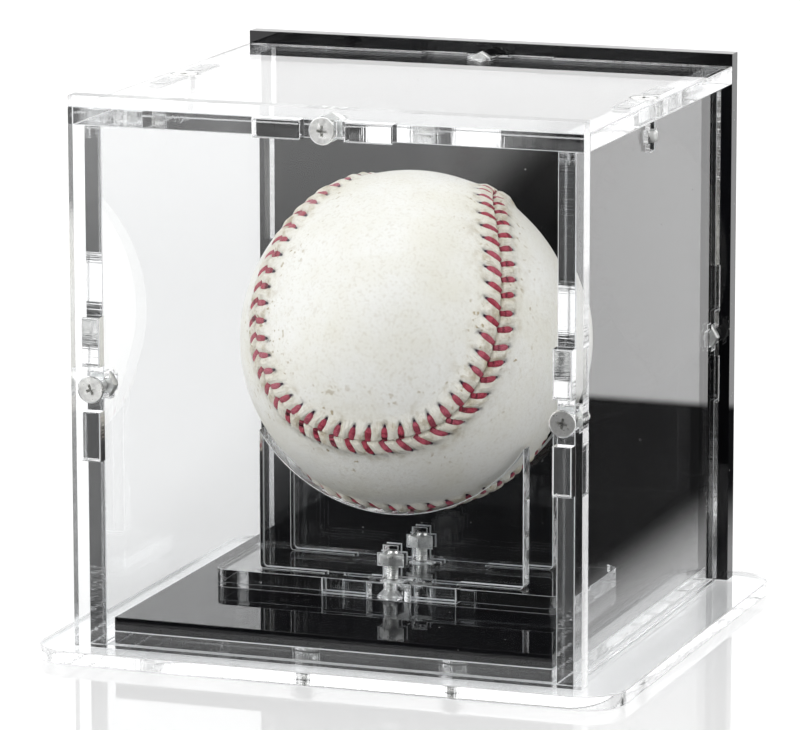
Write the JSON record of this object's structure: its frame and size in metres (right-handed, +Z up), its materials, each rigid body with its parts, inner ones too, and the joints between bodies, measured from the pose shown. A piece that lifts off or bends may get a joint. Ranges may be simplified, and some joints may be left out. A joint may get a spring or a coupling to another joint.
{
  "type": "ball display case",
  "caption": "Clear acrylic display case with a black back, a lift-off cover on a rounded base, and a cradle stand holding a stitched ball.",
  "frame": {"origin": "centre of the base plate's underside, on the surface that the case stands on", "axes": "+X to the right seen from the clear front panel, +Y from the front panel to the black back panel, +Z up"},
  "size_m": [0.132, 0.1194, 0.1223],
  "materials": {
    "clear_acrylic": "polished clear",
    "black_acrylic": "polished",
    "screw_steel": "nickel plated",
    "nut_steel": "nickel plated",
    "ball_leather": "satin"
  },
  "bodies": {
    "base": {"base_plate": "clear_acrylic", "plinth_plate": "clear_acrylic", "floor_plate": "black_acrylic", "base_screw_left": "screw_steel", "base_screw_right": "screw_steel", "base_nut_left": "nut_steel", "base_nut_right": "nut_steel"},
    "cover": {"front_panel": "clear_acrylic", "back_panel": "black_acrylic", "left_panel": "clear_acrylic", "right_panel": "clear_acrylic", "top_panel": "clear_acrylic", "screw_front_left": "screw_steel", "screw_front_right": "screw_steel", "screw_front_top": "screw_steel", "screw_back_left": "screw_steel", "screw_back_right": "screw_steel", "screw_back_top": "screw_steel", "screw_top_left": "screw_steel", "screw_top_right": "screw_steel", "nut_front_left": "nut_steel", "nut_front_right": "nut_steel", "nut_front_top": "nut_steel", "nut_back_left": "nut_steel", "nut_back_right": "nut_steel", "nut_back_top": "nut_steel", "nut_top_left": "nut_steel", "nut_top_right": "nut_steel"},
    "stand": {"stand_base": "clear_acrylic", "front_cradle": "clear_acrylic", "rear_cradle": "clear_acrylic", "stand_screw_front": "screw_steel", "stand_screw_rear": "screw_steel", "stand_nut_front": "nut_steel", "stand_nut_rear": "nut_steel"},
    "ball": {"baseball": "ball_leather"}
  },
  "joints": [
    {"name": "cover_lift", "type": "slide", "parent": "base", "child": "cover", "axis": [0, 0, 1], "range_m": [0, 0.15]},
    {"name": "stand_lift", "type": "slide", "parent": "base", "child": "stand", "axis": [0, 0, 1], "range_m": [0, 0.015]},
    {"name": "ball_lift", "type": "slide", "parent": "stand", "child": "ball", "axis": [0, 0, 1], "range_m": [0, 0.03]}
  ],
  "couplings": [
    {"joint": "stand_lift", "follows": "cover_lift", "ratio": 0.1},
    {"joint": "ball_lift", "follows": "cover_lift", "ratio": 0.2}
  ]
}
